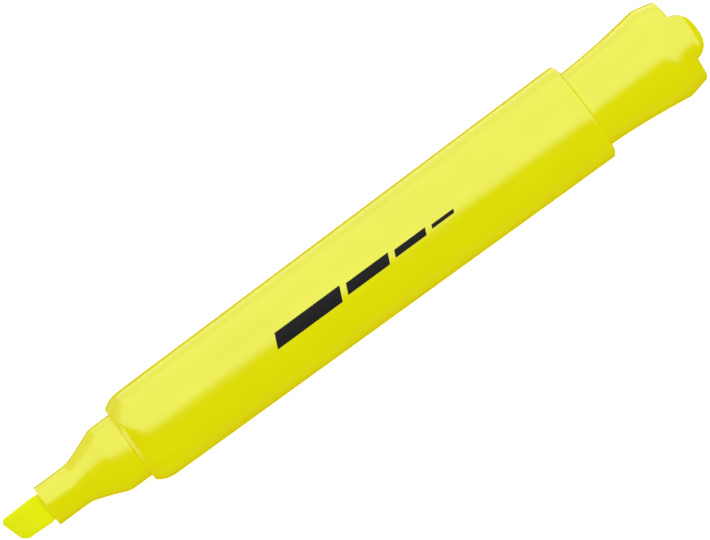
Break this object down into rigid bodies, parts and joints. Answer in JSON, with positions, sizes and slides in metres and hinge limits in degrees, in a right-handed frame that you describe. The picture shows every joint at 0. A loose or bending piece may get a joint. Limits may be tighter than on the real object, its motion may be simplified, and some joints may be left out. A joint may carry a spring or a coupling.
{
  "type": "highlighter",
  "caption": "Chisel-tip tank highlighter with an oval yellow barrel, a felt nib and a flared clip cap posted in the rear of the barrel.",
  "frame": {"origin": "under the middle of the posted length, on the plane that the pocket clip touches", "axes": "+X from the nib to the cap, +Z out of the printed face, Y across the wide side of the oval barrel"},
  "size_m": [0.1382, 0.018, 0.0157],
  "materials": {
    "barrel_plastic": "fluorescent yellow, satin gloss",
    "nose_plastic": "fluorescent yellow, satin gloss",
    "cap_plastic": "fluorescent yellow, satin gloss",
    "inked_felt": "porous felt soaked with yellow-green ink",
    "inked_fibre": "bundled fibre soaked with ink",
    "clear_film": "thin clear film",
    "plug_plastic": "fluorescent yellow, matte",
    "seal_plastic": "milky soft plastic"
  },
  "bodies": {
    "barrel": {"barrel_shell": "barrel_plastic", "front_section": "nose_plastic", "chisel_nib": "inked_felt", "ink_core": "inked_fibre", "core_film": "clear_film", "rear_plug": "plug_plastic"},
    "cap": {"cap_shell": "cap_plastic", "cap_seal": "seal_plastic"},
    "clip": {"pocket_clip": "cap_plastic"}
  },
  "joints": [
    {"name": "cap_pull", "type": "slide", "parent": "barrel", "child": "cap", "axis": [1, 0, 0], "range_m": [0, 0.03]},
    {"name": "clip_flex", "type": "hinge", "parent": "cap", "child": "clip", "pos_m": [0.06638, 0, 0.002], "axis": [0, -1, 0], "range_deg": [0, 5], "stiffness_Nm_per_rad": 0.8}
  ]
}
